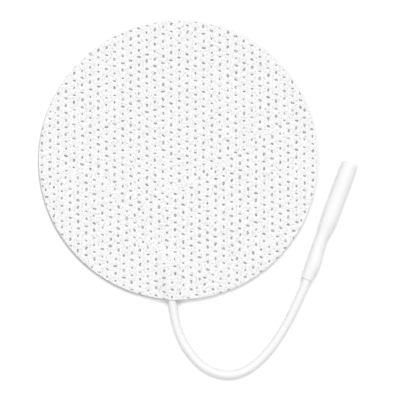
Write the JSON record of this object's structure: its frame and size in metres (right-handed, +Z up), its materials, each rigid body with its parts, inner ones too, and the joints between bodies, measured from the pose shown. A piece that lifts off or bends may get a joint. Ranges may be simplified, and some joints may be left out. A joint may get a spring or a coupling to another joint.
{
  "type": "electrotherapy electrode pad",
  "caption": "Round self-adhesive electrode pad with an apertured cloth backing, a pigtail lead and a moulded socket connector.",
  "frame": {"origin": "centre of the pad's skin side, on the surface it lies on", "axes": "+Z up through the cloth, -Y to the edge where the lead leaves, +X to the side where the connector lies"},
  "size_m": [0.0799, 0.09, 0.0042],
  "materials": {
    "cloth": "matt, apertured and ribbed",
    "adhesive": "satin, milky",
    "carbon_film": "matt",
    "hydrogel": "glossy, translucent",
    "pvc": "semi-gloss",
    "nickel_plate": "bright",
    "tinned_copper": "satin"
  },
  "bodies": {
    "root": {"fabric_backing": "cloth", "adhesive_coat": "adhesive", "carbon_film": "carbon_film", "hydrogel": "hydrogel", "lead_wire": "pvc", "connector_body": "pvc", "socket_contact": "nickel_plate", "wire_core": "tinned_copper", "strand_1": "tinned_copper", "strand_2": "tinned_copper", "strand_3": "tinned_copper", "strand_4": "tinned_copper", "strand_5": "tinned_copper", "strand_6": "tinned_copper", "strand_7": "tinned_copper"}
  },
  "joints": []
}
